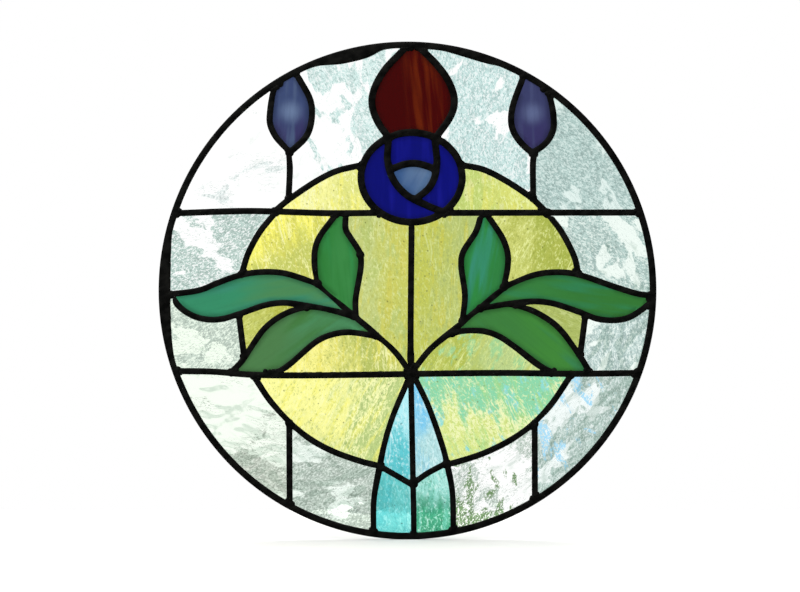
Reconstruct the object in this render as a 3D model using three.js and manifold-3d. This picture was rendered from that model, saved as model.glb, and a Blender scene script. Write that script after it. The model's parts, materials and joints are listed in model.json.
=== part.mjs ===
// A round leaded stained glass window: a flower, two buds and two sprays of leaves over a yellow disc.
// Cut panes of glass sit in the channels of H-section lead cames, and a U-section came closes the rim.
// Millimetres. X runs to the right, Z up, and the window is seen from -Y. The back of the rim is the
// plane Y = 0, and the origin lies on that plane in the middle of the rim's face, at its lowest point.

import * as THREE from "three";
import { mergeVertices } from "three/addons/utils/BufferGeometryUtils.js";
import Module from "manifold-3d";

const wasm = await Module();
wasm.setup();

// Rim
const sightRadius = 242.5; // from the centre to the rim's inner edge
const rimFace = 6.5; // width of the rim's flat face
const rimWall = 1.6; // the wall that closes the rim's channel
const rimSegments = 48;

// Cames
const flangeThickness = 1.2; // the lead leaf that laps over the glass, front and back
const heartWidth = 1.4; // the web between two panes
const heavyFace = 7; // round the flower and the rose
const standardFace = 6.2; // the bars, the buds and the upright in the middle
const leafFace = 6; // the leaf sprays and the ring round the yellow disc
const stalkFace = 5.8;
const edgeFace = 8; // the leads that lie along the rim
const jointGap = 0.3; // between two cames that butt, where the solder goes

// Glass
const glassThickness = 3;
const faceClearance = 0.3; // between a pane and each flange, filled with cement
const edgeClearance = 0.4; // between a pane's edge and the heart or the rim's wall

// Smoothness of the curves: the largest distance between a curve and its chords
const faceTolerance = 0.6;
const hiddenTolerance = 1.1; // for hearts and pane edges, which the flanges cover

// Derived sizes
const outerRadius = sightRadius + rimFace;
const wallRadius = outerRadius - rimWall;
const channelHeight = glassThickness + 2 * faceClearance;
const cameHeight = channelHeight + 2 * flangeThickness;
const glassBack = flangeThickness + faceClearance;
const slotWidth = heartWidth + 2 * edgeClearance; // between the edges of two neighbouring panes
const rimReach = 3 * rimFace; // how far a line that meets the rim is drawn on past the sight edge
const cutMargin = 1; // how far a cutting tool stands past the faces that it cuts
const originDrop = sightRadius + rimFace / 2; // the origin lies this far below the window's centre

// The cartoon is drawn from the window's centre, in thousandths of the sight radius.
const cartoonUnit = sightRadius / 1000;
const jointReach = 20 * cartoonUnit; // a line's end this near to an earlier line is brought onto it
const samplesPerKnot = 16;
const ovalSamples = 240;

// Every line of the cartoon drawn so far, in the order in which a glazier would lay the leads. A line is
// its closely spaced points, whether it closes on itself, and which of its points are joints.
const drawnLines = [];

function placed([x, z]) {
  return new THREE.Vector2(x, z).multiplyScalar(cartoonUnit);
}

// An end that falls inside the rim goes to the nearest point of an earlier line, and marks it as a joint.
function joined(end) {
  let nearest = jointReach;
  let joint = null;
  for (const line of drawnLines) {
    line.points.forEach((point, index) => {
      if (point.distanceTo(end) < nearest) {
        nearest = point.distanceTo(end);
        joint = { line, index };
      }
    });
  }
  if (joint === null || end.length() > sightRadius) {
    return end;
  }
  joint.line.joints.push(joint.index);
  return joint.line.points[joint.index].clone();
}

// The point where a line that meets the rim ends, past the rim's whole width
function runOut(end, before) {
  return end.clone().add(end.clone().sub(before).setLength(rimReach));
}

function draw(points, closed) {
  const line = { points, closed, joints: [] };
  drawnLines.push(line);
  return line;
}

function curve(...knots) {
  const path = knots.map(placed);
  path[0] = joined(path[0]);
  path.push(joined(path.pop()));
  const spline = new THREE.CatmullRomCurve3(path.map((p) => new THREE.Vector3(p.x, p.y, 0)), false, "centripetal");
  const fine = spline.getPoints(path.length * samplesPerKnot).map((p) => new THREE.Vector2(p.x, p.y));
  if (fine[0].length() > sightRadius) {
    fine.unshift(runOut(fine[0], fine[1]));
  }
  if (fine.at(-1).length() > sightRadius) {
    fine.push(runOut(fine.at(-1), fine.at(-2)));
  }
  return draw(fine, false);
}

function oval(centre, radiusX, radiusZ) {
  const middle = placed(centre);
  const size = placed([radiusX, radiusZ]);
  const outline = new THREE.EllipseCurve(middle.x, middle.y, size.x, size.y, 0, 2 * Math.PI);
  return draw(outline.getPoints(ovalSamples).slice(0, -1), true);
}

// The leads that lie along the rim, where a straight side of the pattern runs just inside it. Beyond each
// one's line the lead is solid to the rim.
const edgeLines = [
  curve([-990, 330], [-984, 0], [-981, -330]),
  curve([-412, 936], [-295, 948], [-173, 976], [-82, 1019]),
  curve([155, 1004], [202, 990], [285, 964], [373, 944]),
];

// The cames inside the rim. One that butts against others comes after them.
const cameGroups = [
  {
    name: "rose_came",
    face: heavyFace,
    lines: [
      oval([17, 467], 209, 185),
      curve([6, 1019], [-42, 969], [-96, 908], [-139, 827], [-147, 771], [-127, 703], [-76, 629]),
      curve([31, 1023], [103, 952], [165, 872], [193, 795], [188, 742], [163, 693], [118, 628]),
      curve([-78, 631], [-83, 579], [-80, 518], [-60, 459], [-29, 417], [6, 387], [53, 362], [101, 342],
        [148, 328]),
      curve([111, 631], [120, 571], [120, 505], [106, 451], [80, 413], [27, 373]),
      curve([-80, 497], [-31, 516], [23, 525], [72, 517], [120, 496]),
    ],
  },
  {
    name: "lower_bar_came",
    face: standardFace,
    lines: [
      curve([-1010, -331], [-835, -333], [-649, -348], [-443, -346], [14, -341], [381, -340], [619, -345],
        [794, -340], [1010, -339]),
    ],
  },
  {
    name: "upper_bar_came_left",
    face: standardFace,
    lines: [curve([-1010, 318], [-955, 320], [-732, 328], [-600, 327], [-443, 320], [-109, 320])],
  },
  {
    name: "upper_bar_came_right",
    face: standardFace,
    lines: [curve([144, 320], [577, 320], [1010, 322])],
  },
  {
    name: "leaf_came_left",
    face: leafFace,
    lines: [
      curve([9, -341], [-36, -271], [-117, -191], [-211, -116], [-302, -34], [-374, 27], [-433, 49],
        [-496, 69], [-577, 77], [-670, 68], [-759, 42], [-836, 8], [-907, -8], [-984, -13]),
      curve([-984, -19], [-936, -72], [-874, -109], [-800, -121], [-722, -107], [-621, -70], [-548, -53],
        [-482, -52], [-400, -66], [-309, -82], [-216, -108]),
      curve([-728, -344], [-699, -311], [-662, -258], [-625, -202], [-588, -155], [-545, -119], [-500, -93],
        [-454, -77], [-392, -67]),
      curve([-610, -349], [-522, -330], [-443, -266], [-361, -202], [-272, -174], [-186, -178],
        [-107, -192]),
      curve([-287, 320], [-318, 282], [-351, 241], [-376, 192], [-385, 134], [-381, 85], [-367, 29]),
      curve([-264, 320], [-254, 249], [-225, 204], [-198, 159], [-191, 118], [-198, 72], [-209, 10],
        [-215, -52], [-208, -113]),
      curve([-694, -97], [-689, -157], [-682, -219], [-675, -276]),
    ],
  },
  {
    name: "leaf_came_right",
    face: leafFace,
    lines: [
      curve([21, -341], [92, -244], [175, -178], [277, -87], [366, -16], [407, 17], [466, 44], [515, 62],
        [568, 73], [629, 75], [691, 69], [801, 35], [925, -8], [1006, -21]),
      curve([282, -82], [342, -66], [402, -59], [464, -49], [526, -45], [588, -51], [692, -82], [744, -105],
        [794, -119], [852, -123], [904, -115], [948, -93], [1006, -47]),
      curve([421, -56], [480, -70], [527, -88], [573, -115], [616, -146], [657, -193], [703, -256],
        [759, -341]),
      curve([167, -184], [208, -170], [258, -166], [307, -167], [353, -179], [404, -204], [487, -268],
        [568, -324], [623, -345]),
      curve([301, 320], [289, 258], [261, 207], [231, 163], [221, 118], [228, 64], [236, 2], [236, -56],
        [226, -130]),
      curve([322, 320], [361, 266], [391, 219], [410, 169], [416, 118], [408, 68], [394, 12]),
      curve([735, -103], [725, -171], [715, -235], [709, -270]),
    ],
  },
  {
    name: "stalk_came",
    face: stalkFace,
    lines: [
      curve([18, -341], [21, -575], [25, -802], [26, -1006]),
      curve([10, -341], [-31, -443], [-85, -592], [-111, -711], [-136, -839], [-142, -938], [-140, -1006]),
      curve([21, -341], [72, -443], [128, -592], [163, -711], [186, -839], [189, -938], [188, -1006]),
      curve([-113, -726], [25, -807]),
      curve([163, -713], [98, -744], [25, -794]),
    ],
  },
  {
    name: "ring_came_top_left",
    face: leafFace,
    lines: [curve([-186, 520], [-275, 499], [-342, 471], [-421, 423], [-483, 381], [-548, 320])],
  },
  {
    name: "ring_came_top_right",
    face: leafFace,
    lines: [curve([217, 522], [279, 509], [329, 493], [424, 442], [514, 380], [581, 320])],
  },
  {
    name: "ring_came_side_left",
    face: leafFace,
    lines: [curve([-546, 324], [-594, 264], [-639, 192], [-668, 126], [-685, 64])],
  },
  {
    name: "ring_came_side_right",
    face: leafFace,
    lines: [curve([577, 320], [623, 262], [656, 206], [682, 155], [699, 105], [708, 68])],
  },
  {
    name: "ring_came_bottom_left",
    face: leafFace,
    lines: [
      curve([-640, -349], [-588, -427], [-509, -522], [-437, -588], [-353, -642], [-258, -684], [-171, -711],
        [-113, -725]),
      curve([-489, -541], [-487, -616], [-486, -882]),
    ],
  },
  {
    name: "ring_came_bottom_right",
    face: leafFace,
    lines: [
      curve([675, -344], [633, -415], [593, -470], [503, -564], [382, -641], [256, -693], [163, -716]),
      curve([525, -543], [526, -858]),
    ],
  },
  {
    name: "bud_came_left",
    face: standardFace,
    lines: [
      curve([-511, 901], [-553, 827], [-565, 757], [-567, 687], [-536, 623], [-495, 581], [-487, 544],
        [-487, 373]),
      curve([-480, 934], [-445, 868], [-401, 786], [-395, 711], [-416, 639], [-489, 565]),
    ],
  },
  {
    name: "bud_came_right",
    face: standardFace,
    lines: [
      curve([542, 887], [586, 806], [602, 724], [600, 658], [569, 605], [527, 576], [519, 540], [519, 375]),
      curve([489, 918], [456, 827], [431, 744], [431, 674], [460, 619], [521, 561]),
    ],
  },
  {
    name: "centre_came",
    face: standardFace,
    lines: [curve([17, 282], [12, -39], [14, -341])],
  },
];

// The kinds of glass and the lead, as seen with light behind them
const finishes = {
  lead: { color: 0x24221f, roughness: 0.55, metalness: 0.8 },
  clear: { color: 0xe2ebe6, roughness: 0.12, metalness: 0 },
  yellow: { color: 0xe9cf33, roughness: 0.2, metalness: 0 },
  green: { color: 0x5b9a62, roughness: 0.35, metalness: 0 },
  red: { color: 0x7a1d14, roughness: 0.3, metalness: 0 },
  blue: { color: 0x171a8c, roughness: 0.25, metalness: 0 },
  pale_blue: { color: 0xa9bccd, roughness: 0.3, metalness: 0 },
  violet: { color: 0x5f55bd, roughness: 0.35, metalness: 0 },
  turquoise: { color: 0x45bcb4, roughness: 0.25, metalness: 0 },
};

// The panes, by kind of glass, each with a point of the cartoon that lies on it
const panes = {
  clear: {
    clear_top_left: [-770, 540],
    clear_top_mid_left: [-300, 700],
    clear_top_mid_right: [320, 700],
    clear_top_right: [710, 540],
    clear_side_left_upper: [-840, 170],
    clear_side_left_lower: [-840, -220],
    clear_side_right_upper: [860, 170],
    clear_side_right_lower: [860, -220],
    clear_bottom_left_outer: [-710, -530],
    clear_bottom_left_inner: [-320, -820],
    clear_bottom_right_inner: [340, -820],
    clear_bottom_right_outer: [750, -530],
  },
  yellow: {
    disc_top_left: [-320, 390],
    disc_top_right: [360, 390],
    disc_upper_left: [-530, 190],
    disc_centre_left: [-90, 130],
    disc_centre_right: [110, 130],
    disc_upper_right: [570, 190],
    disc_sliver_left: [-630, -120],
    disc_sliver_right: [670, -120],
    disc_lower_left: [-240, -270],
    disc_lower_right: [280, -270],
    disc_bottom_left: [-320, -490],
    disc_bottom_right: [360, -490],
  },
  green: {
    leaf_left_upper: [-290, 130],
    leaf_left_long: [-730, -40],
    leaf_left_lower: [-440, -180],
    leaf_right_upper: [320, 130],
    leaf_right_long: [710, -10],
    leaf_right_lower: [510, -180],
  },
  red: {
    flower_red: [20, 810],
  },
  blue: {
    rose_left_petal: [-150, 440],
    rose_right_petal: [180, 460],
    rose_top_petal: [20, 590],
  },
  pale_blue: {
    rose_centre: [30, 460],
  },
  violet: {
    bud_left: [-480, 720],
    bud_right: [520, 720],
  },
  turquoise: {
    stalk_upper_left: [-30, -620],
    stalk_upper_right: [70, -620],
    stalk_lower_left: [-60, -880],
    stalk_lower_right: [110, -880],
  },
};

function distanceToChord(point, start, end) {
  const along = end.clone().sub(start).normalize();
  return Math.abs(along.cross(point.clone().sub(start)));
}

function chordFits(path, from, to, tolerance) {
  return path.slice(from + 1, to).every((point) => distanceToChord(point, path[from], path[to]) < tolerance);
}

// The points of a line between which straight chords stay within the tolerance. Each chord is as long as it
// can be, and none passes over a stop.
function chordPoints({ points, closed }, tolerance, stops = []) {
  const path = closed ? [...points, points[0]] : points;
  const last = path.length - 1;
  const kept = [path[0]];
  let from = 0;
  while (from < last) {
    let to = from + 1;
    while (to < last && !stops.includes(to) && chordFits(path, from, to + 1, tolerance)) {
      to += 1;
    }
    kept.push(path[to]);
    from = to;
  }
  return closed ? kept.slice(0, -1) : kept;
}

// A path's points moved sideways, with mitred corners
function offsetPath(path, closed, distance) {
  const count = path.length;
  return path.map((point, i) => {
    const before = closed ? path[(i + count - 1) % count] : path[Math.max(i - 1, 0)];
    const after = closed ? path[(i + 1) % count] : path[Math.min(i + 1, count - 1)];
    const arriving = point.clone().sub(before);
    const leaving = after.clone().sub(point);
    const first = (arriving.length() > 0 ? arriving : leaving).clone().normalize();
    const second = (leaving.length() > 0 ? leaving : arriving).clone().normalize();
    const along = first.clone().add(second).normalize();
    const reach = distance / along.dot(first);
    return new THREE.Vector2(point.x - along.y * reach, point.y + along.x * reach);
  });
}

// The shape of a strip of one width along a line, between the chords' ends
function stripAlong(path, closed, width) {
  const left = offsetPath(path, closed, width / 2);
  const right = offsetPath(path, closed, -width / 2);
  if (!closed) {
    return new THREE.Shape([...left, ...right.reverse()]);
  }
  const shape = new THREE.Shape(right);
  shape.holes.push(new THREE.Path(left));
  return shape;
}

function faceStrip(line, width) {
  return stripAlong(chordPoints(line, faceTolerance), line.closed, width);
}

// Hearts and the slots between panes keep every joint as a corner, so that each pane is closed.
function hiddenStrip(line, width) {
  return stripAlong(chordPoints(line, hiddenTolerance, line.joints), line.closed, width);
}

function disc(radius) {
  return new THREE.Shape(new THREE.EllipseCurve(0, 0, radius, radius).getPoints(rimSegments).slice(0, -1));
}

// The part of the window that lies beyond an edge line, with its outer corner well past the rim
function beyond(line) {
  const path = chordPoints(line, hiddenTolerance);
  const corner = path[0].clone().add(path.at(-1)).setLength(outerRadius + 2 * rimReach);
  return new THREE.Shape([...path, corner]);
}

function slab(shape, bottom, top) {
  const geometry = new THREE.ExtrudeGeometry(shape, { depth: top - bottom, bevelEnabled: false });
  geometry.translate(0, 0, bottom);
  geometry.deleteAttribute("normal");
  geometry.deleteAttribute("uv");
  const merged = mergeVertices(geometry);
  return new wasm.Manifold(new wasm.Mesh({
    numProp: 3,
    vertProperties: merged.attributes.position.array,
    triVerts: new Uint32Array(merged.index.array),
  }));
}

function joinAll(solids) {
  return solids.reduce((sum, solid) => sum.add(solid));
}

function cutAll(solid, tools) {
  return tools.reduce((rest, tool) => rest.subtract(tool), solid);
}

// A tool that reaches through the whole height of the cames
function through(shape) {
  return slab(shape, -cutMargin, cameHeight + cutMargin);
}

// The lead along one line: a flange behind, a flange in front and the heart between them
function hSection(line, face) {
  const flange = faceStrip(line, face);
  const heart = hiddenStrip(line, heartWidth);
  return joinAll([
    slab(flange, 0, flangeThickness),
    slab(flange, cameHeight - flangeThickness, cameHeight),
    slab(heart, flangeThickness / 2, cameHeight - flangeThickness / 2),
  ]);
}

// The separate bodies of a solid, each as a geometry, the largest first
function bodiesOf(solid) {
  const { vertProperties, triVerts } = solid.getMesh();
  const parent = Array.from({ length: vertProperties.length / 3 }, (_, i) => i);

  function root(i) {
    while (parent[i] !== i) {
      parent[i] = parent[parent[i]];
      i = parent[i];
    }
    return i;
  }

  for (let t = 0; t < triVerts.length; t += 3) {
    parent[root(triVerts[t + 1])] = root(triVerts[t]);
    parent[root(triVerts[t + 2])] = root(triVerts[t]);
  }
  const bodies = new Map();
  for (let t = 0; t < triVerts.length; t += 3) {
    const key = root(triVerts[t]);
    bodies.set(key, [...(bodies.get(key) ?? []), triVerts[t], triVerts[t + 1], triVerts[t + 2]]);
  }
  return [...bodies.values()].map((triangles) => geometryOf(vertProperties, triangles))
    .sort((a, b) => extentOf(b) - extentOf(a));
}

function geometryOf(positions, triangles) {
  const geometry = new THREE.BufferGeometry();
  geometry.setAttribute("position", new THREE.BufferAttribute(new Float32Array(positions), 3));
  geometry.setIndex(triangles);
  const corners = geometry.toNonIndexed();
  return mergeVertices(corners);
}

function extentOf(geometry) {
  geometry.computeBoundingBox();
  return geometry.boundingBox.getSize(new THREE.Vector3()).length();
}

// Whether a pane's front face holds a point of the cartoon
function holds(geometry, point) {
  const position = geometry.attributes.position;
  const corners = geometry.index.array;
  const front = glassBack + glassThickness;
  const probe = new THREE.Vector3(point.x, point.y, front);
  const triangle = new THREE.Triangle();
  for (let t = 0; t < corners.length; t += 3) {
    triangle.setFromAttributeAndIndices(position, corners[t], corners[t + 1], corners[t + 2]);
    const lowest = Math.min(triangle.a.z, triangle.b.z, triangle.c.z);
    if (Math.abs(lowest - front) < faceClearance && triangle.containsPoint(probe)) {
      return true;
    }
  }
  return false;
}

function piece(name, geometry, finish) {
  const mesh = new THREE.Mesh(geometry, new THREE.MeshStandardMaterial(finishes[finish]));
  mesh.name = name;
  return mesh;
}

// The rim: a ring with a channel that opens inwards, and the leads along it
function rimSolid() {
  const ring = slab(disc(outerRadius), 0, cameHeight)
    .subtract(through(disc(sightRadius)))
    .subtract(slab(disc(wallRadius), flangeThickness, cameHeight - flangeThickness));
  const inside = through(disc(wallRadius + rimWall / 2));
  const leads = edgeLines.map((line) => {
    const backing = slab(beyond(line), 0, cameHeight);
    return joinAll([hSection(line, edgeFace), backing]).intersect(inside);
  });
  return joinAll([ring, ...leads]);
}

function cameMeshes() {
  const sight = through(disc(sightRadius - jointGap));
  const tools = edgeLines.flatMap((line) => [
    through(faceStrip(line, edgeFace + 2 * jointGap)),
    through(beyond(line)),
  ]);
  return cameGroups.map(({ name, face, lines }) => {
    const whole = joinAll(lines.map((line) => hSection(line, face)));
    const [body] = bodiesOf(cutAll(whole.intersect(sight), tools));
    tools.push(...lines.map((line) => through(faceStrip(line, face + 2 * jointGap))));
    return piece(name, body, "lead");
  });
}

// A disc of glass, parted along every line, so that each pane has the lead's heart between it and the next
function paneMeshes() {
  const blank = slab(disc(wallRadius - edgeClearance), glassBack, glassBack + glassThickness);
  const slots = drawnLines.map((line) => through(hiddenStrip(line, slotWidth)));
  const cutPanes = bodiesOf(cutAll(blank, [...slots, ...edgeLines.map((line) => through(beyond(line)))]));
  return Object.entries(panes).flatMap(([glass, places]) => Object.entries(places).map(([name, place]) => {
    const pane = cutPanes.find((geometry) => holds(geometry, placed(place)));
    return piece(name, pane, glass);
  }));
}

const panel = new THREE.Group();
panel.add(piece("rim_came", bodiesOf(rimSolid())[0], "lead"), ...cameMeshes(), ...paneMeshes());
panel.rotation.x = Math.PI / 2;
panel.position.z = originDrop;

export default panel;
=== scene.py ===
# The looks of a round leaded stained glass window: a flower, two buds and two sprays of leaves over a yellow
# disc. Every pane is wavy glass of its own kind, and every lead is a soldered, rounded came.
# Metres. X runs to the right, Z up, and the window is seen from -Y.

import json
import math

import bmesh
import bpy
import numpy as np
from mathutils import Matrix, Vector, noise
from mathutils.geometry import delaunay_2d_cdt, intersect_point_line
from mathutils.kdtree import KDTree


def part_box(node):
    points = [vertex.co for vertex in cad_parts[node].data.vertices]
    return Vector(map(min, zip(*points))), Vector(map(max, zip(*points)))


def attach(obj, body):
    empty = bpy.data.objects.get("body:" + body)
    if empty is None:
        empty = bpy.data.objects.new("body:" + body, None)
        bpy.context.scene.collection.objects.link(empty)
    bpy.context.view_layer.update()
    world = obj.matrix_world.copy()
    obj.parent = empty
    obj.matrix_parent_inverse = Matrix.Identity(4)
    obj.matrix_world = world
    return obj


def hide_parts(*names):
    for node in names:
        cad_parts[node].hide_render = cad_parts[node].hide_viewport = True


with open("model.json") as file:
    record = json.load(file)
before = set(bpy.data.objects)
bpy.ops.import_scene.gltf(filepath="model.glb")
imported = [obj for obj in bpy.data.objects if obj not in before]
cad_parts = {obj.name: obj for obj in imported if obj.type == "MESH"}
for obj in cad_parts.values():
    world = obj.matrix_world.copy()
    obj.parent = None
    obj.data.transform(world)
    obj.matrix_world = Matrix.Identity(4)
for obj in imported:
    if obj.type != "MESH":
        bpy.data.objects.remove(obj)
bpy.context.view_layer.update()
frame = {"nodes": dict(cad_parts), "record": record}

MM = 0.001
SAME_POINT = 0.002 * MM
SMOOTH_TURN = math.radians(50)  # faces that meet at less than this are shaded as one surface

# Sizes of the lead
FACE_STEP = 1.2 * MM  # spacing of the points on a lead's face
CORNER_TURN = math.radians(40)  # an outline that turns more than this at a point has a corner there
ROUNDING_PASSES = 2
FACE_DROP = 0.5 * MM  # how far a rounded face falls from its middle to its edge
FACE_EASE = 2.4 * MM  # the width over which it falls
FACE_RECESS = 0.15 * MM  # room for the solder, which stands proud of the lead
TOOLING_DEPTH = 0.05 * MM
TOOLING_WIDTH = 9 * MM
EDGE_RINGS = (0.35 * MM, 0.9 * MM, 1.7 * MM)
HEART_BITE = 0.3 * MM  # how far the heart reaches into each face leaf

# Sizes of the solder
SOLDER_RADIUS = 4.2 * MM
SOLDER_PANES = 3  # a joint where more panes meet than this is larger
SOLDER_UNEVEN = 0.16  # share by which a joint's radius varies
SOLDER_EDGE = 0.75 * MM  # depth of a solder joint's edge below its top
SOLDER_SPOKES = 28
SOLDER_RINGS = 5
JOINT_REACH = 6.5 * MM  # pane corners nearer than this to each other belong to one joint
SEAM_WIDTH = 0.6 * MM  # a lead's end nearer than this to another lead meets it in a seam
SEAM_STEPS = 8
BEAD_RADIUS = 2.6 * MM  # of the solder along a seam, which stays within the leads
SOLDER_COVER = 0.85  # share of a joint's radius within which it hides a seam
PANE_CORNER = math.radians(32)

# Sizes of the glass
EDGE_FADE = 6 * MM  # the waves die away over this distance from a pane's edge
EDGE_SHADE = 9 * MM  # painted shade: opal glass is darkened over this distance from a pane's edge, beside the lead
GLOW_REACH = 0.4  # of the painted highlight that lightens the middle, as a share of half the pane's length

# Camera
VIEW_WIDTH = 800 * MM  # what the camera sees at the window's front
VIEW_ASIDE = (-7.5 * MM, -5.5 * MM)  # across and up, from the window's centre
CAMERA_DISTANCE = 3
SENSOR_WIDTH = 36

# Sizes of the floor
FLOOR_WIDTH = 6
FLOOR_FRONT = 3
FLOOR_BACK = 0.4

# Levels of the light
SKY_CLOUD = (0.74, 0.81, 0.77, 1)
SKY_CLEAR = (1.1, 1.1, 1.1, 1)
SKY_FALL = 2.2  # how much sooner it clouds over towards the ground
SKY_GRAIN = 14
SKY_TURN = (0.28, 0.46)  # where the sky turns from cloudy to clear
ROOM_LIGHT = 0.05  # what the window mirrors
FLOOR_LIGHT = 1.0  # what reaches dull surfaces
WHITE = (1, 1, 1, 1)

front, front_inner, back_inner, back = sorted(
    {round(v.co.y, 6) for v in frame["nodes"]["rim_came"].data.vertices})
rim_low, rim_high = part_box("rim_came")
centre = (rim_low + rim_high) / 2

slots = {part["node"]: part["material_slot"] for part in frame["record"]["subparts"]}
cames = [node for node, slot in slots.items() if slot == "lead"]


# Outlines

def directed_chains(steps):
    """Closed chains from a list of (start, end) pairs."""
    following = {}
    for start, end in steps:
        following.setdefault(start, []).append(end)
    chains = []
    while following:
        start = next(iter(following))
        chain = [start]
        while chain[-1] in following:
            ends = following[chain[-1]]
            end = ends.pop()
            if not ends:
                del following[chain[-1]]
            if end == start:
                break
            chain.append(end)
        chains.append(chain)
    return chains


def welded_solid(node):
    solid = bmesh.new()
    solid.from_mesh(frame["nodes"][node].data)
    bmesh.ops.remove_doubles(solid, verts=solid.verts, dist=SAME_POINT)
    return solid


def loops_of(faces):
    """The boundary of some faces, as loops of (x, z) points with the faces on their left."""
    chosen = set(faces)
    steps = []
    for face in chosen:
        for corner in face.loops:
            if sum(other in chosen for other in corner.edge.link_faces) == 1:
                steps.append((corner.vert, corner.link_loop_next.vert))
    return [[Vector((v.co.x, v.co.z)) for v in chain] for chain in directed_chains(steps)]


def front_loops(node):
    """The outline of a node's flat front."""
    solid = welded_solid(node)
    depth = min(v.co.y for v in solid.verts)
    loops = loops_of(f for f in solid.faces if all(abs(v.co.y - depth) < SAME_POINT for v in f.verts))
    solid.free()
    return loops


def heart_loops(node):
    """The outline of a lead, cut through the middle of its height."""
    solid = welded_solid(node)
    middle = Vector((0, (front + back) / 2, 0))
    everything = [*solid.verts, *solid.edges, *solid.faces]
    cut = bmesh.ops.bisect_plane(
        solid, geom=everything, plane_co=middle, plane_no=(0, -1, 0), clear_outer=True)
    edges = [e for e in cut["geom_cut"] if isinstance(e, bmesh.types.BMEdge)]
    steps = []
    for edge in edges:
        side = edge.link_faces[0]
        corner = next(c for c in side.loops if c.edge == edge)
        steps.append((corner.link_loop_next.vert, corner.vert))
    loops = [[Vector((v.co.x, v.co.z)) for v in chain] for chain in directed_chains(steps)]
    solid.free()
    return loops


def turn_at(loop, i):
    arriving = loop[i] - loop[i - 1]
    leaving = loop[(i + 1) % len(loop)] - loop[i]
    if arriving.length < SAME_POINT or leaving.length < SAME_POINT:
        return 0
    return abs(arriving.angle_signed(leaving))


def curve_points(before, start, end, after, step):
    """Points from start up to, not including, end on the centripetal curve through all four."""
    first, middle, last = (max((b - a).length, SAME_POINT) ** 0.5
                           for a, b in ((before, start), (start, end), (end, after)))
    chord = end - start
    leave = chord + middle * ((start - before) / first - (end - before) / (first + middle))
    arrive = chord + middle * ((after - end) / last - (after - start) / (middle + last))
    count = max(1, round(chord.length / step))
    points = []
    for i in range(count):
        t = i / count
        cubic = (-2 * chord + leave + arrive) * t ** 3
        square = (3 * chord - 2 * leave - arrive) * t ** 2
        points.append(start + cubic + square + leave * t)
    return points


def smooth_loop(loop, step):
    """A loop of straight chords, drawn again as curves between its corners."""
    count = len(loop)
    corner = [turn_at(loop, i) > CORNER_TURN for i in range(count)]
    points = []
    for i in range(count):
        start, end = loop[i], loop[(i + 1) % count]
        before = 2 * start - end if corner[i] else loop[i - 1]
        after = 2 * end - start if corner[(i + 1) % count] else loop[(i + 2) % count]
        points += curve_points(before, start, end, after, step)
    for _ in range(ROUNDING_PASSES):
        points = [(points[i - 1] + 2 * p + points[(i + 1) % len(points)]) / 4 for i, p in enumerate(points)]
    return points


# Flat regions

def edge_distance(loops):
    """A function that gives a point's distance to the nearest loop."""
    ends = [(loop[i], loop[(i + 1) % len(loop)], loop[i - 1]) for loop in loops for i in range(len(loop))]
    tree = KDTree(len(ends))
    for i, (point, _, _) in enumerate(ends):
        tree.insert((point.x, point.y, 0), i)
    tree.balance()

    def distance(point):
        _, i, nearest = tree.find((point.x, point.y, 0))
        here, after, before = ends[i]
        for other in (after, before):
            foot, share = intersect_point_line(point, here, other)
            if 0 < share < 1:
                nearest = min(nearest, (point - foot).length)
        return nearest

    return distance


def ring_points(loops, distance, offsets):
    """Points beside the loops, inside the region, at each of the offsets."""
    points = []
    for loop in loops:
        for i, point in enumerate(loop):
            along = loop[(i + 1) % len(loop)] - loop[i - 1]
            if along.length < SAME_POINT:
                continue
            inward = Vector((-along.y, along.x)).normalized()
            for offset in offsets:
                beside = point + inward * offset
                if distance(beside) > 0.9 * offset:
                    points.append(beside)
    return points


def grid_points(loops, distance, step, margin):
    """Points of a triangular grid inside the loops, at least the margin from them."""
    starts = np.array([p for loop in loops for p in loop])
    ends = np.array([loop[(i + 1) % len(loop)] for loop in loops for i in range(len(loop))])
    row_step = step * math.sqrt(3) / 2
    low, high = starts[:, 1].min(), starts[:, 1].max()
    points = []
    for row in range(math.ceil(low / row_step), math.floor(high / row_step) + 1):
        z = row * row_step
        crossing = (starts[:, 1] <= z) != (ends[:, 1] <= z)
        a, b = starts[crossing], ends[crossing]
        xs = np.sort(a[:, 0] + (z - a[:, 1]) / (b[:, 1] - a[:, 1]) * (b[:, 0] - a[:, 0]))
        shift = step / 2 * (row % 2)
        for left, right in zip(xs[::2], xs[1::2]):
            for column in range(math.ceil((left - shift) / step), math.floor((right - shift) / step) + 1):
                point = Vector((column * step + shift, z))
                if distance(point) > margin:
                    points.append(point)
    return points


def triangulated(loops, inner_points):
    """The region inside the loops as (points, triangles), its triangles turning from x to z."""
    points = [p for loop in loops for p in loop]
    edges = []
    for loop in loops:
        first = len(edges)
        edges += [(first + i, first + (i + 1) % len(loop)) for i in range(len(loop))]
    places, all_edges, triangles, _, edge_sources, _ = delaunay_2d_cdt(
        [*points, *inner_points], edges, [], 0, SAME_POINT / 10, True)
    walls = {frozenset(edge) for edge, sources in zip(all_edges, edge_sources) if sources}
    beside = {}
    for t, triangle in enumerate(triangles):
        for side in sides_of(triangle):
            beside.setdefault(frozenset(side), []).append(t)
    # From the outside in: each wall that is crossed changes outside to inside, or back.
    inside = {}
    front_line = []
    for side, neighbours in beside.items():
        if len(neighbours) == 1 and neighbours[0] not in inside:
            inside[neighbours[0]] = side in walls
            front_line.append(neighbours[0])
    while front_line:
        t = front_line.pop()
        for side in sides_of(triangles[t]):
            for other in beside[frozenset(side)]:
                if other not in inside:
                    inside[other] = inside[t] != (frozenset(side) in walls)
                    front_line.append(other)
    kept = [triangle for t, triangle in enumerate(triangles) if inside[t]]
    used = sorted({i for triangle in kept for i in triangle})
    index = {old: new for new, old in enumerate(used)}
    return [places[i] for i in used], [[index[i] for i in triangle] for triangle in kept]


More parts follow.
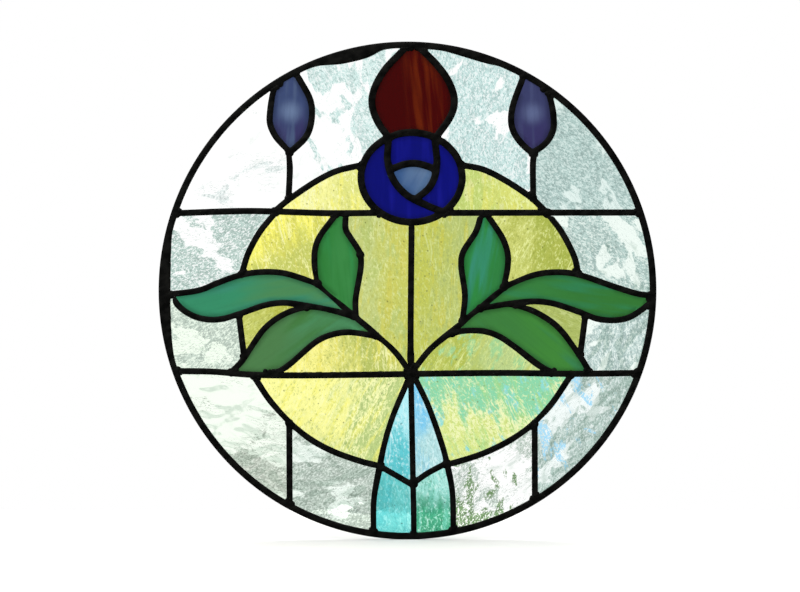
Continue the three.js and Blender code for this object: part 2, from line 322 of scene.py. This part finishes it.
def sides_of(face):
    return [(face[i - 1], face[i]) for i in range(len(face))]


def boundary_steps(triangles):
    steps = {side for triangle in triangles for side in sides_of(triangle)}
    return [(a, b) for a, b in steps if (b, a) not in steps]


def closed_mesh(name, near, near_depths, far, far_depths):
    """A closed mesh between two triangulations of one region. Near is the side towards -Y."""
    near_points, near_triangles = near
    far_points, far_triangles = far
    offset = len(near_points)
    verts = [(p.x, y, p.y) for p, y in zip(near_points, near_depths)]
    verts += [(p.x, y, p.y) for p, y in zip(far_points, far_depths)]
    places = {(round(p.x, 8), round(p.y, 8)): i + offset for i, p in enumerate(far_points)}
    under = [places.get((round(p.x, 8), round(p.y, 8))) for p in near_points]
    faces = [list(t) for t in near_triangles]
    faces += [[i + offset for i in reversed(t)] for t in far_triangles]
    faces += [[b, a, under[a], under[b]] for a, b in boundary_steps(near_triangles)]
    mesh = bpy.data.meshes.new(name)
    mesh.from_pydata(verts, [], faces)
    return mesh


def new_object(name, mesh):
    made = bpy.data.objects.new(name, mesh)
    bpy.context.scene.collection.objects.link(made)
    return made


# Lead

def face_leaf(name, loops, inner, outer):
    """One of the two leaves of lead that lap over the glass, flat inside and rounded outside."""
    distance = edge_distance(loops)
    outward = -1 if outer < inner else 1
    beside = ring_points(loops, distance, EDGE_RINGS)
    beside += grid_points(loops, distance, FACE_STEP, EDGE_RINGS[-1] + FACE_STEP / 2)
    rounded_side = triangulated(loops, beside)
    flat_side = triangulated(loops, [])
    depths = []
    for point in rounded_side[0]:
        fall = max(0, 1 - distance(point) / FACE_EASE) ** 2
        tooling = noise.noise((point.x / TOOLING_WIDTH, outer / MM, point.y / TOOLING_WIDTH))
        depths.append(outer - outward * (FACE_RECESS + FACE_DROP * fall) + TOOLING_DEPTH * tooling)
    flat = [inner] * len(flat_side[0])
    if outward < 0:
        return closed_mesh(name, rounded_side, depths, flat_side, flat)
    return closed_mesh(name, flat_side, flat, rounded_side, depths)


def solder_mesh(name, places, inner, outer):
    """Low domes of solder over the joints, each a little uneven."""
    outward = -1 if outer < inner else 1
    verts = []
    faces = []
    for x, z, size in places:
        first = len(verts)
        verts.append((x, outer, z))
        for ring in range(1, SOLDER_RINGS + 1):
            share = ring / SOLDER_RINGS
            for spoke in range(SOLDER_SPOKES):
                angle = 2 * math.pi * spoke / SOLDER_SPOKES
                lean = Vector((math.cos(angle), math.sin(angle)))
                uneven = noise.noise((x / MM + lean.x, outer / MM, z / MM + lean.y))
                radius = size * share * (1 + SOLDER_UNEVEN * uneven)
                sink = SOLDER_EDGE * share ** 2.5
                verts.append((x + radius * lean.x, outer - outward * sink, z + radius * lean.y))
        for spoke in range(SOLDER_SPOKES):
            here = len(verts) - SOLDER_SPOKES
            px, _, pz = verts[here]
            verts.append((px, inner, pz))
        verts.append((x, inner, z))
        last = len(verts) - 1
        around = [(s, (s + 1) % SOLDER_SPOKES) for s in range(SOLDER_SPOKES)]
        shell = [[first, first + 1 + a, first + 1 + b] for a, b in around]
        for ring in range(SOLDER_RINGS):
            row = first + 1 + ring * SOLDER_SPOKES
            below = row + SOLDER_SPOKES
            shell += [[row + a, below + a, below + b, row + b] for a, b in around]
        bottom = first + 1 + SOLDER_RINGS * SOLDER_SPOKES
        shell += [[last, bottom + b, bottom + a] for a, b in around]
        if outward > 0:
            shell = [face[::-1] for face in shell]
        faces += shell
    mesh = bpy.data.meshes.new(name)
    mesh.from_pydata(verts, [], faces)
    return mesh


def smoothed(mesh):
    mesh.shade_smooth()
    mesh.set_sharp_from_angle(angle=SMOOTH_TURN)
    return mesh


def fused(name, meshes):
    """One solid made of several that overlap."""
    body, *others = [new_object(f"{name}_{i}", mesh) for i, mesh in enumerate(meshes)]
    for other in others:
        union = body.modifiers.new("union", "BOOLEAN")
        union.operation = "UNION"
        union.solver = "MANIFOLD"
        union.object = other
    depsgraph = bpy.context.evaluated_depsgraph_get()
    mesh = bpy.data.meshes.new_from_object(body.evaluated_get(depsgraph))
    mesh.name = name
    for part in (body, *others):
        bpy.data.objects.remove(part)
    return mesh


def pane_corners():
    """The sharp corners of every pane, as (x, z) points."""
    corners = []
    for node, slot in slots.items():
        if slot == "lead":
            continue
        for loop in front_loops(node):
            corners += [p for i, p in enumerate(loop) if turn_at(loop, i) > PANE_CORNER]
    return corners


def solder_joints():
    """The soldered joints, where the corners of panes meet, as (x, z, radius)."""
    joints = []
    for corner in pane_corners():
        near = next((j for j in joints if (j[0] / j[1] - corner).length < JOINT_REACH), None)
        if near is None:
            joints.append([corner.copy(), 1])
        else:
            near[0] += corner
            near[1] += 1
    middle = Vector((centre.x, centre.z))
    placed = []
    for total, count in joints:
        radius = SOLDER_RADIUS * max(1, math.sqrt(count / SOLDER_PANES))
        inner_reach = rim_high.x - centre.x - 1.2 * radius
        arm = total / count - middle
        place = middle + arm * min(1, inner_reach / arm.length)
        placed.append((place.x, place.y, radius))
    return placed + seam_joints(placed)


def seam_joints(joints):
    """Beads of solder where a lead's end meets another lead beyond the reach of the joints so far."""
    outlines = {node: front_loops(node) for node in cames}
    edges = {node: edge_distance(loops) for node, loops in outlines.items()}
    beads = []
    for node in cames:
        sides = [side for loop in outlines[node] for side in sides_of(loop)]
        others = [edge for other, edge in edges.items() if other != node]
        for start, end in sides:
            if all(max(edge(start), edge(end)) > SEAM_WIDTH for edge in others):
                continue
            for i in range(1, SEAM_STEPS):
                place = start.lerp(end, i / SEAM_STEPS)
                if all((place - Vector(j[:2])).length > SOLDER_COVER * j[2] for j in joints + beads):
                    beads.append((place.x, place.y, BEAD_RADIUS))
    return beads


def came(node, joints):
    loops = [smooth_loop(loop, FACE_STEP) for loop in front_loops(node)]
    hearts = [smooth_loop(loop, 2 * FACE_STEP) for loop in heart_loops(node)]
    heart = triangulated(hearts, [])
    count = len(heart[0])
    parts = [
        face_leaf(node, loops, front_inner, front),
        face_leaf(node, loops, back_inner, back),
        closed_mesh(node, heart, [front_inner - HEART_BITE] * count,
                    heart, [back_inner + HEART_BITE] * count),
    ]
    if joints:
        parts.append(solder_mesh(node, joints, front_inner, front))
        parts.append(solder_mesh(node, joints, back_inner, back))
    return smoothed(fused(node, parts))


# Glass

def wave(point, across, along, lean, seed):
    """Smooth noise, from -1 to 1, with this spacing across and along a direction that leans from X."""
    angle = math.radians(lean)
    u = point.x * math.cos(angle) + point.y * math.sin(angle)
    v = point.y * math.cos(angle) - point.x * math.sin(angle)
    return noise.noise((u / along, v / across, seed))


def water_wave(point, lean, seed):
    """The relief of rolled cathedral glass that imitates water."""
    drift = [wave(point, across=30 * MM, along=30 * MM, lean=0, seed=seed + offset) for offset in (7, 17)]
    bent = point + 9 * MM * Vector(drift)
    swell = 1 - abs(wave(bent, across=17 * MM, along=34 * MM, lean=lean, seed=seed)) * 2
    chop = wave(bent, across=4.5 * MM, along=8 * MM, lean=lean, seed=seed + 31)
    return 0.30 * MM * swell + 0.075 * MM * chop


def reed_wave(point, lean, seed):
    """The drawn-out relief and fine hammering of streaky glass."""
    reeds = wave(point, across=7 * MM, along=60 * MM, lean=lean, seed=seed)
    hammering = wave(point, across=4 * MM, along=6 * MM, lean=lean, seed=seed + 31)
    return 0.12 * MM * reeds + 0.07 * MM * hammering


def opal_wave(point, lean, seed):
    """The gentle roll of opalescent glass."""
    return 0.16 * MM * wave(point, across=22 * MM, along=50 * MM, lean=lean, seed=seed)


def pane_mesh(node, relief, lean, step):
    """A pane with relief on both faces, thinnest where it is held in the lead."""
    loops = front_loops(node)
    distance = edge_distance(loops)
    flat = triangulated(loops, grid_points(loops, distance, step, step / 2))
    low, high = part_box(node)
    seed = sum(map(ord, node)) % 97
    near = []
    far = []
    shade = []
    for point in flat[0]:
        inset = distance(point)
        held = min(1, inset / EDGE_FADE)
        near.append(low.y + held * relief(point, lean, seed))
        far.append(high.y + held * relief(point, lean, seed + 50))
        # painted shade for opal glass: 1 at the pane's edge, fading inward, kept as the edge attribute
        shade.append(max(0, 1 - inset / EDGE_SHADE))
    mesh = closed_mesh(node, flat, near, flat, far)
    edge = mesh.attributes.new("edge", "FLOAT", "POINT")
    edge.data.foreach_set("value", shade * 2)
    return smoothed(mesh)


# Materials

def colour(red, green, blue):
    """A colour as it looks on a screen, from 0 to 255, as the linear values that a shader takes."""
    return [(c / 255) ** 2.2 for c in (red, green, blue)] + [1]


def darker(tone, share):
    return [c * share for c in colour(*tone)[:3]] + [1]


class Nodes:
    """Makes and links the nodes of one tree. A value may be a number or another node's socket."""

    def __init__(self, tree):
        self.tree = tree

    def node(self, kind, inputs=(), **settings):
        made = self.tree.nodes.new(kind)
        for name, value in settings.items():
            setattr(made, name, value)
        for name, value in dict(inputs).items():
            if isinstance(value, bpy.types.NodeSocket):
                self.tree.links.new(value, made.inputs[name])
            else:
                made.inputs[name].default_value = value
        return made

    def ramp(self, value, low, high):
        """The value stretched so that low becomes 0 and high becomes 1."""
        return self.node("ShaderNodeMapRange", {0: value, 1: low, 2: high},
                         interpolation_type="SMOOTHSTEP").outputs[0]

    def mix(self, factor, first, second):
        return self.node("ShaderNodeMix", {0: factor, 6: first, 7: second}, data_type="RGBA").outputs[2]

    def calculate(self, operation, *values):
        return self.node("ShaderNodeMath", dict(enumerate(values)), operation=operation).outputs[0]

    def sum(self, first, second, factor=1):
        return self.calculate("MULTIPLY_ADD", second, factor, first)

    def times(self, *values):
        product, *others = values
        for other in others:
            product = self.calculate("MULTIPLY", product, other)
        return product

    def line(self, value, level, half_width):
        """1 where the value is the level, falling to 0 at half a width from it."""
        away = self.calculate("ABSOLUTE", self.calculate("SUBTRACT", value, level))
        return self.ramp(away, half_width, half_width / 3)


class Paint(Nodes):
    """The nodes of one material, painted from the place on the window."""

    def __init__(self, name, shader_values):
        self.material = bpy.data.materials.new(name)
        self.material.use_nodes = True
        super().__init__(self.material.node_tree)
        self.shader = self.tree.nodes["Principled BSDF"]
        for socket, value in shader_values.items():
            self.shader.inputs[socket].default_value = value
        self.place = self.node("ShaderNodeTexCoord").outputs["Object"]

    def grains(self, across, along, lean, seed):
        """The place, measured in grains of this size in millimetres, the same right through the glass."""
        turned = self.node("ShaderNodeMapping", {
            "Vector": self.place, "Rotation": (0, math.radians(lean), 0)}).outputs[0]
        return self.node("ShaderNodeMapping", {
            "Vector": turned, "Scale": (1 / (along * MM), 0, 1 / (across * MM)),
            "Location": (seed, seed, 0)}).outputs[0]

    def noise(self, across, along, lean=0, seed=0, detail=2, rough=0.5, distortion=0):
        """Noise from 0 to 1."""
        return self.node("ShaderNodeTexNoise", {
            "Vector": self.grains(across, along, lean, seed), "Scale": 1, "Detail": detail,
            "Roughness": rough, "Distortion": distortion}).outputs[0]

    def specks(self, spacing, radius, seed):
        """Scattered dots, 1 inside and 0 outside."""
        place = self.grains(spacing, spacing, 0, seed)
        cells = self.node("ShaderNodeTexVoronoi", {"Vector": place, "Scale": 1})
        return self.ramp(cells.outputs["Distance"], radius / spacing, radius / spacing / 2)

    def towards(self, direction, middle, half_width):
        """How far a point lies towards a direction, from -1 to 1 over the width round the middle."""
        angle = math.radians(direction)
        way = Vector((math.cos(angle), 0, math.sin(angle)))
        reach = self.node("ShaderNodeVectorMath", {0: self.place, 1: way}, operation="DOT_PRODUCT")
        return self.sum(-middle.dot(way) / half_width, reach.outputs["Value"], 1 / half_width)

    def attribute(self, name):
        return self.node("ShaderNodeAttribute", attribute_name=name).outputs["Fac"]

    def finished(self, base):
        self.tree.links.new(base, self.shader.inputs["Base Color"])
        return self.material


def pane_middle(node):
    """A pane's middle, and half its greater measure."""
    low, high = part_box(node)
    return (low + high) / 2, max(high.x - low.x, high.z - low.z) / 2


def clear_glass(node, tint, pale=(254, 255, 254), level=0.5, lean=0, towards=-90, turn=0, shimmer=0.75,
                ripple_shade=0.3, accent=None, accent_level=0.6, accent_towards=0, accent_turn=0):
    """Colourless water glass: crisp, wavy zones of a faint tint and painted scenery seen through it, with
    painted glints, beside clear ones with painted shade along the waves.

    The tinted zones lie where the noise passes the level, and a turn gathers them in the direction given. An
    accent paints patches of scenery seen through the pane in the same way.
    """
    paint = Paint(node + "_glass", {"Roughness": 0.03, "IOR": 1.5, "Transmission Weight": 1})
    seed = len(node) * 0.7
    middle, half = pane_middle(node)
    # the tinted zones are partly the glass's faint tint and partly painted scenery seen through the waves
    zones = paint.noise(across=26, along=44, lean=lean, seed=seed, detail=5, rough=0.52, distortion=0.4)
    zones = paint.sum(zones, paint.towards(towards, middle, half), turn)
    depth = paint.noise(across=7, along=15, lean=lean, seed=seed + 1, detail=3)
    tinted = paint.mix(paint.ramp(depth, 0.4, 0.68), colour(*tint), darker(tint, 0.84))
    # painted glints and painted shade: fine pale and dark specks that stand in for light bent by the fine
    # chop of the relief
    glitter = paint.noise(across=1.5, along=2.6, lean=lean + 25, seed=seed + 2, detail=1, distortion=0.9)
    tinted = paint.mix(paint.ramp(glitter, 0.42, 0.32), tinted, darker(tint, 0.68))
    tinted = paint.mix(paint.times(paint.ramp(glitter, 0.5, 0.6), shimmer), tinted, colour(*pale))
    # painted shade: dark lines along the waves beside the tinted zones, standing in for light bent by the
    # rolled relief
    curls = paint.noise(across=3.5, along=10, lean=lean, seed=seed + 3, detail=3, distortion=1.4)
    beside = paint.ramp(zones, level - 0.16, level - 0.04)
    painted_ripple_shade = paint.times(paint.line(curls, 0.5, 0.02), beside, ripple_shade)
    clear = paint.mix(painted_ripple_shade, colour(*pale), darker(tint, 0.75))
    base = paint.mix(paint.ramp(zones, level, level + 0.025), clear, tinted)
    # painted scenery: patches of what lies behind the pane, seen through it
    if accent:
        patches = paint.noise(
            across=13, along=22, lean=lean + 60, seed=seed + 4, detail=5, rough=0.55, distortion=0.6)
        patches = paint.sum(patches, paint.towards(accent_towards, middle, half), accent_turn)
        shown = paint.ramp(patches, accent_level, accent_level + 0.05)
        sparse = paint.ramp(glitter, 0.62, 0.48)
        base = paint.mix(paint.times(shown, sparse), base, colour(*accent))
    return paint.finished(base)


def streaky_glass(node, near, far, streak, pale, lean=90, towards=0, turn=0.0, soft=0.35, share=0.5,
                  crest=0, patch=None):
    """Transparent streaky glass with seeds, of one colour that turns into another across the pane.

    The far colour lies in the direction given, and a larger turn leaves it less room. A crest is a pale line
    where the two meet.
    """
    paint = Paint(node + "_glass", {"Roughness": 0.06, "IOR": 1.5, "Transmission Weight": 1})
    seed = len(node) * 0.9 + towards / 100
    middle, half = pane_middle(node)
    drift = paint.noise(across=10, along=30, lean=lean, seed=seed, detail=5, rough=0.6)
    feathered = paint.sum(paint.towards(towards, middle, half), drift, 1.4)
    border = 0.7 + turn
    base = paint.mix(paint.ramp(feathered, border - soft, border + soft), colour(*near), colour(*far))
    if patch:
        patches = paint.noise(across=13, along=28, lean=lean, seed=seed + 6, detail=4, rough=0.55)
        base = paint.mix(paint.ramp(patches, 0.55, 0.63), base, colour(*patch))
    streaks = paint.noise(across=6, along=42, lean=lean, seed=seed + 1, detail=5, rough=0.6, distortion=0.2)
    streaks = paint.ramp(streaks, 0.66 - share / 3, 0.8 - share / 3)
    base = paint.mix(paint.times(streaks, 0.7), base, colour(*streak))
    threads = paint.noise(across=7, along=38, lean=lean + 4, seed=seed + 2, detail=2, distortion=1.1)
    gathered = paint.noise(across=20, along=40, lean=lean, seed=seed + 5, detail=1)
    threads = paint.times(paint.line(threads, 0.5, 0.03), paint.ramp(gathered, 0.45, 0.6), 0.75)
    base = paint.mix(threads, base, colour(*pale))
    # painted highlights and painted shade: fine pale and dark marks that stand in for light bent by the
    # hammered relief
    hammering = paint.noise(across=2, along=3.4, lean=lean + 15, seed=seed + 3, detail=2, distortion=0.7)
    base = paint.mix(paint.times(paint.ramp(hammering, 0.54, 0.68), 0.6), base, colour(*pale))
    base = paint.mix(paint.times(paint.ramp(hammering, 0.45, 0.3), 0.5), base, darker(far, 0.7))
    if crest:
        foam = paint.times(paint.line(feathered, border + soft, 0.3), paint.ramp(hammering, 0.42, 0.58))
        base = paint.mix(paint.times(foam, crest), base, colour(*pale))
    seeds = paint.specks(spacing=9, radius=1.1, seed=seed)
    return paint.finished(paint.mix(paint.times(seeds, 0.6), base, darker(far, 0.25)))


def opal_glass(node, near, far, streak, lean=90, towards=0, turn=0.0, soft=0.5, share=0.5, width=9,
               dim=0.6, band=None, glow=None):
    """Milky glass with soft streaks, and painted shade that darkens it towards the lead.

    The far colour lies in the direction given. A band holds the streaks to one place across, and a painted
    highlight lightens the middle.
    """
    paint = Paint(node + "_glass", {"Roughness": 0.35, "IOR": 1.5, "Transmission Weight": 1})
    seed = len(node) * 0.8 + lean / 100
    middle, half = pane_middle(node)
    drift = paint.noise(across=16, along=60, lean=lean, seed=seed, detail=2)
    feathered = paint.sum(paint.towards(towards, middle, half), drift, 1.2)
    border = 0.6 + turn
    base = paint.mix(paint.ramp(feathered, border - soft, border + soft), colour(*near), colour(*far))
    streaks = paint.noise(across=width, along=90, lean=lean, seed=seed + 1, detail=2)
    streaks = paint.ramp(streaks, 0.64 - share / 3, 0.9 - share / 3)
    if band:
        streaks = paint.times(streaks, paint.line(paint.towards(lean - 90, middle, half), *band))
    base = paint.mix(streaks, base, colour(*streak))
    # painted highlight: the middle of the pane is lightened
    if glow:
        away = paint.node("ShaderNodeVectorMath", {0: paint.place, 1: middle}, operation="DISTANCE")
        base = paint.mix(paint.ramp(away.outputs["Value"], GLOW_REACH * half, 0), base, colour(*glow))
    wisps = paint.noise(across=2.5, along=50, lean=lean, seed=seed + 2, detail=3)
    base = paint.mix(paint.times(paint.ramp(wisps, 0.45, 0.75), 0.35), base, darker(near, 0.8))
    # painted shade: the colour is darkened towards the lead
    shade = paint.ramp(paint.attribute("edge"), 0.15, 1)
    return paint.finished(paint.mix(paint.times(shade, dim), base, darker(near, 0.25)))


def lead_material():
    """Lead with a black patina, in blotches that are duller and rubbed lighter."""
    paint = Paint("patinated_lead", {"Metallic": 0.6, "Specular IOR Level": 0.4})
    blotches = paint.noise(across=7, along=11, lean=20, seed=2, detail=4)
    roughness = paint.sum(0.42, paint.ramp(blotches, 0.2, 0.9), 0.22)
    paint.tree.links.new(roughness, paint.shader.inputs["Roughness"])
    grain = paint.noise(across=0.6, along=1.2, seed=5, detail=3)
    bump = paint.node("ShaderNodeBump", {"Height": grain, "Strength": 0.25, "Distance": 0.1 * MM})
    paint.tree.links.new(bump.outputs[0], paint.shader.inputs["Normal"])
    rubbed = paint.ramp(blotches, 0.35, 0.7)
    return paint.finished(paint.mix(rubbed, colour(18, 19, 17), colour(34, 34, 31)))


# Each pane's kind of glass, with its colours as they look on a screen and its directions in degrees from X
GLASS = {
    "clear_top_left": (clear_glass, dict(
        tint=(226, 236, 234), level=0.64, lean=8, towards=-70, turn=0.1, ripple_shade=0.8)),
    "clear_top_mid_left": (clear_glass, dict(
        tint=(205, 231, 227), level=0.52, lean=100, towards=10, turn=0.16, shimmer=0.6, ripple_shade=0.5)),
    "clear_top_mid_right": (clear_glass, dict(
        tint=(195, 224, 221), level=0.42, lean=70, shimmer=0.6, ripple_shade=0.6)),
    "clear_top_right": (clear_glass, dict(
        tint=(174, 200, 195), pale=(222, 238, 233), level=0.4, lean=120, shimmer=0.65, ripple_shade=0.6)),
    "clear_side_left_upper": (clear_glass, dict(
        tint=(184, 207, 199), level=0.42, lean=0, turn=0.08, ripple_shade=0.6)),
    "clear_side_left_lower": (clear_glass, dict(
        tint=(194, 210, 197), pale=(242, 254, 238), level=0.46, lean=10, turn=-0.08, ripple_shade=0.8)),
    "clear_side_right_upper": (clear_glass, dict(
        tint=(178, 203, 197), pale=(236, 247, 240), level=0.4, lean=125, shimmer=0.7, ripple_shade=0.5)),
    "clear_side_right_lower": (clear_glass, dict(
        tint=(186, 208, 204), pale=(240, 250, 244), level=0.43, lean=70, shimmer=0.75, ripple_shade=0.5)),
    "clear_bottom_left_outer": (clear_glass, dict(
        tint=(194, 203, 190), pale=(246, 255, 242), level=0.54, lean=175, turn=0.16, ripple_shade=1, shimmer=0.55)),
    "clear_bottom_left_inner": (clear_glass, dict(
        tint=(184, 198, 187), pale=(241, 251, 243), level=0.42, lean=5, shimmer=0.6, ripple_shade=0.8)),
    "clear_bottom_right_inner": (clear_glass, dict(
        tint=(194, 208, 198), level=0.51, lean=30, ripple_shade=0.8, accent=(116, 146, 104), accent_level=0.54,
        accent_towards=-135, accent_turn=0.2)),
    "clear_bottom_right_outer": (clear_glass, dict(
        tint=(182, 204, 196), pale=(240, 248, 246), level=0.44, lean=50, shimmer=0.6, ripple_shade=0.6,
        accent=(166, 218, 244), accent_level=0.6, accent_towards=135, accent_turn=0.22)),
    "disc_top_left": (streaky_glass, dict(
        near=(250, 248, 160), far=(226, 228, 132), streak=(250, 244, 122), pale=(254, 253, 196), turn=0.1)),
    "disc_top_right": (streaky_glass, dict(
        near=(190, 208, 116), far=(212, 218, 116), streak=(222, 222, 110), pale=(234, 242, 170), turn=-0.1,
        patch=(214, 220, 146))),
    "disc_upper_left": (streaky_glass, dict(
        near=(252, 246, 114), far=(198, 204, 106), streak=(206, 204, 92), pale=(254, 252, 182), lean=100,
        towards=-60, turn=-0.1, share=0.6)),
    "disc_centre_left": (streaky_glass, dict(
        near=(192, 204, 130), far=(196, 200, 98), streak=(206, 202, 94), pale=(222, 229, 160), lean=88,
        patch=(184, 198, 116))),
    "disc_centre_right": (streaky_glass, dict(
        near=(190, 196, 90), far=(176, 192, 118), streak=(198, 196, 82), pale=(208, 218, 144), lean=88)),
    "disc_upper_right": (streaky_glass, dict(
        near=(200, 206, 114), far=(166, 178, 80), streak=(176, 184, 86), pale=(234, 241, 164), lean=60,
        share=0.6)),
    "disc_sliver_left": (streaky_glass, dict(
        near=(192, 198, 100), far=(182, 186, 76), streak=(180, 182, 80), pale=(220, 224, 138), lean=30)),
    "disc_sliver_right": (streaky_glass, dict(
        near=(168, 182, 100), far=(168, 182, 100), streak=(162, 174, 84), pale=(194, 206, 134), lean=150)),
    "disc_lower_left": (streaky_glass, dict(
        near=(250, 244, 142), far=(186, 196, 104), streak=(232, 224, 104), pale=(252, 251, 184), lean=85)),
    "disc_lower_right": (streaky_glass, dict(
        near=(176, 188, 84), far=(184, 206, 136), streak=(192, 200, 104), pale=(222, 232, 152), lean=60,
        patch=(160, 208, 146))),
    "disc_bottom_left": (streaky_glass, dict(
        near=(252, 250, 156), far=(186, 206, 132), streak=(244, 240, 116), pale=(253, 254, 186), lean=62,
        towards=-20, turn=0.1, soft=0.2, crest=0.7)),
    "disc_bottom_right": (streaky_glass, dict(
        near=(138, 212, 168), far=(214, 228, 138), streak=(158, 214, 140), pale=(240, 245, 188), lean=112,
        towards=-100, turn=-0.05, soft=0.12, crest=0.8, patch=(140, 218, 214))),
    "leaf_left_upper": (opal_glass, dict(
        near=(52, 126, 60), far=(66, 140, 76), streak=(54, 138, 76), lean=95)),
    "leaf_left_long": (opal_glass, dict(
        near=(60, 144, 106), far=(80, 138, 88), streak=(62, 140, 112), lean=10, width=12)),
    "leaf_left_lower": (opal_glass, dict(
        near=(82, 130, 80), far=(78, 142, 96), streak=(70, 124, 66), lean=35, width=12)),
    "leaf_right_upper": (opal_glass, dict(
        near=(52, 140, 70), far=(54, 126, 68), streak=(60, 142, 114), lean=80, width=8)),
    "leaf_right_long": (opal_glass, dict(
        near=(60, 128, 66), far=(58, 122, 58), streak=(54, 132, 90), lean=-8, width=10)),
    "leaf_right_lower": (opal_glass, dict(
        near=(66, 128, 66), far=(70, 138, 62), streak=(62, 132, 84), lean=-38, width=12)),
    "flower_red": (opal_glass, dict(
        near=(66, 3, 2), far=(70, 5, 3), streak=(100, 36, 11), lean=96, width=6, share=0.8,
        band=(0.24, 0.5))),
    "rose_left_petal": (opal_glass, dict(
        near=(17, 21, 112), far=(19, 22, 118), streak=(26, 28, 134), dim=0.5)),
    "rose_right_petal": (opal_glass, dict(
        near=(16, 20, 112), far=(18, 22, 120), streak=(26, 28, 134), dim=0.5)),
    "rose_top_petal": (opal_glass, dict(
        near=(16, 20, 116), far=(18, 22, 112), streak=(24, 27, 130), dim=0.5)),
    "rose_centre": (opal_glass, dict(
        near=(64, 94, 140), far=(98, 122, 156), streak=(84, 112, 150), lean=60, towards=20, dim=0.4)),
    "bud_left": (opal_glass, dict(
        near=(62, 75, 114), far=(59, 54, 97), streak=(80, 95, 128), lean=86, towards=-90, turn=0.3, width=8,
        share=0.4, glow=(106, 124, 158))),
    "bud_right": (opal_glass, dict(
        near=(61, 65, 103), far=(59, 55, 99), streak=(74, 80, 118), lean=92, towards=-90, turn=0.2, width=8,
        share=0.4, glow=(95, 105, 143))),
    "stalk_upper_left": (streaky_glass, dict(
        near=(176, 236, 242), far=(98, 200, 208), streak=(136, 218, 226), pale=(214, 246, 248), towards=-90)),
    "stalk_upper_right": (streaky_glass, dict(
        near=(116, 198, 238), far=(176, 220, 222), streak=(138, 206, 230), pale=(214, 244, 246),
        towards=-90)),
    "stalk_lower_left": (streaky_glass, dict(
        near=(98, 200, 202), far=(114, 208, 206), streak=(84, 190, 196), pale=(160, 228, 226))),
    "stalk_lower_right": (streaky_glass, dict(
        near=(164, 228, 218), far=(68, 160, 124), streak=(112, 196, 174), pale=(204, 243, 235), towards=-90)),
}

# Each kind's relief, with the spacing of the points that carry it
RELIEF = {
    clear_glass: (water_wave, 1.6 * MM),
    streaky_glass: (reed_wave, 1.6 * MM),
    opal_glass: (opal_wave, 3 * MM),
}


# Putting the window together

def dress(node, mesh, material):
    piece = new_object(node + "_dressed", mesh)
    mesh.materials.clear()
    mesh.materials.append(material)
    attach(piece, "root")
    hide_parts(node)
    return piece


def nearest_came(place, fronts):
    """The lead whose front lies under a joint, or else nearest to it."""
    reach = {node: distance(Vector(place)) for node, distance in fronts.items()}
    return min(reach, key=reach.get)


def add_leads():
    fronts = {node: edge_distance(front_loops(node)) for node in cames}
    joints = {node: [] for node in cames}
    for joint in solder_joints():
        joints[nearest_came(joint[:2], fronts)].append(joint)
    lead = lead_material()
    for node in cames:
        dress(node, came(node, joints[node]), lead)


def add_glass():
    for node, (kind, look) in GLASS.items():
        relief, step = RELIEF[kind]
        dress(node, pane_mesh(node, relief, look.get("lean", 90), step), kind(node, **look))


def add_floor():
    bpy.ops.mesh.primitive_plane_add(size=1)
    floor = bpy.context.object
    floor.name = "floor"
    floor.scale = (FLOOR_WIDTH, FLOOR_FRONT + FLOOR_BACK, 1)
    floor.location = (0, (FLOOR_BACK - FLOOR_FRONT) / 2, rim_low.z)
    paint = Paint("pale_floor", {"Roughness": 0.7})
    clouds = paint.noise(across=300, along=300)
    pale = paint.mix(clouds, colour(244, 244, 242), colour(248, 248, 246))
    floor.data.materials.append(paint.finished(pale))
    floor.visible_glossy = False


def add_camera():
    data = bpy.data.cameras.new("camera")
    data.sensor_width = SENSOR_WIDTH
    data.lens = SENSOR_WIDTH * CAMERA_DISTANCE / VIEW_WIDTH
    camera = bpy.data.objects.new("camera", data)
    bpy.context.scene.collection.objects.link(camera)
    across, up = VIEW_ASIDE
    camera.location = (centre.x + across, front - CAMERA_DISTANCE, centre.z + up)
    camera.rotation_euler = (math.pi / 2, 0, 0)
    bpy.context.scene.camera = camera


def add_lamp(name, size, energy, location, target):
    lamp = bpy.data.lights.new(name, "AREA")
    lamp.size = size
    lamp.energy = energy
    softbox = bpy.data.objects.new(name, lamp)
    bpy.context.scene.collection.objects.link(softbox)
    softbox.location = location
    softbox.rotation_euler = (target - softbox.location).to_track_quat("-Z", "Y").to_euler()


def add_light():
    """Daylight behind the window, slightly cloudy, a softbox above it and a weak one in front.

    The world is white to the camera and dim to what mirrors it, so the dark glass keeps its colour.
    """
    world = bpy.data.worlds.new("studio")
    bpy.context.scene.world = world
    world.use_nodes = True
    world.node_tree.nodes.clear()
    sky = Nodes(world.node_tree)
    direction = sky.node("ShaderNodeTexCoord").outputs["Generated"]
    height = sky.node("ShaderNodeSeparateXYZ", {0: direction}).outputs["Z"]
    clouds = sky.node("ShaderNodeTexNoise", {"Vector": direction, "Scale": SKY_GRAIN, "Detail": 3}).outputs[0]
    daylight = sky.mix(sky.ramp(sky.sum(clouds, height, SKY_FALL), *SKY_TURN), SKY_CLOUD, SKY_CLEAR)
    rays = sky.node("ShaderNodeLightPath").outputs
    seen = sky.node("ShaderNodeBackground", {0: WHITE, 1: ROOM_LIGHT}).outputs[0]
    levels = (
        ("Is Diffuse Ray", WHITE, FLOOR_LIGHT),
        ("Is Transmission Ray", daylight, 1),
        ("Is Camera Ray", WHITE, 1),
    )
    for ray, light, strength in levels:
        shown = sky.node("ShaderNodeBackground", {0: light, 1: strength}).outputs[0]
        seen = sky.node("ShaderNodeMixShader", {0: rays[ray], 1: seen, 2: shown}).outputs[0]
    sky.node("ShaderNodeOutputWorld", {0: seen})
    foot = Vector((0, 0.1, rim_low.z))
    add_lamp("overhead", size=2.4, energy=42, location=Vector((0, 0.5, 2.2)), target=foot)
    add_lamp("front", size=1.2, energy=8, location=Vector((-0.9, -1.1, 1.5)), target=centre)


bpy.context.scene.view_settings.view_transform = "Standard"
add_leads()
add_glass()
add_floor()
add_camera()
add_light()
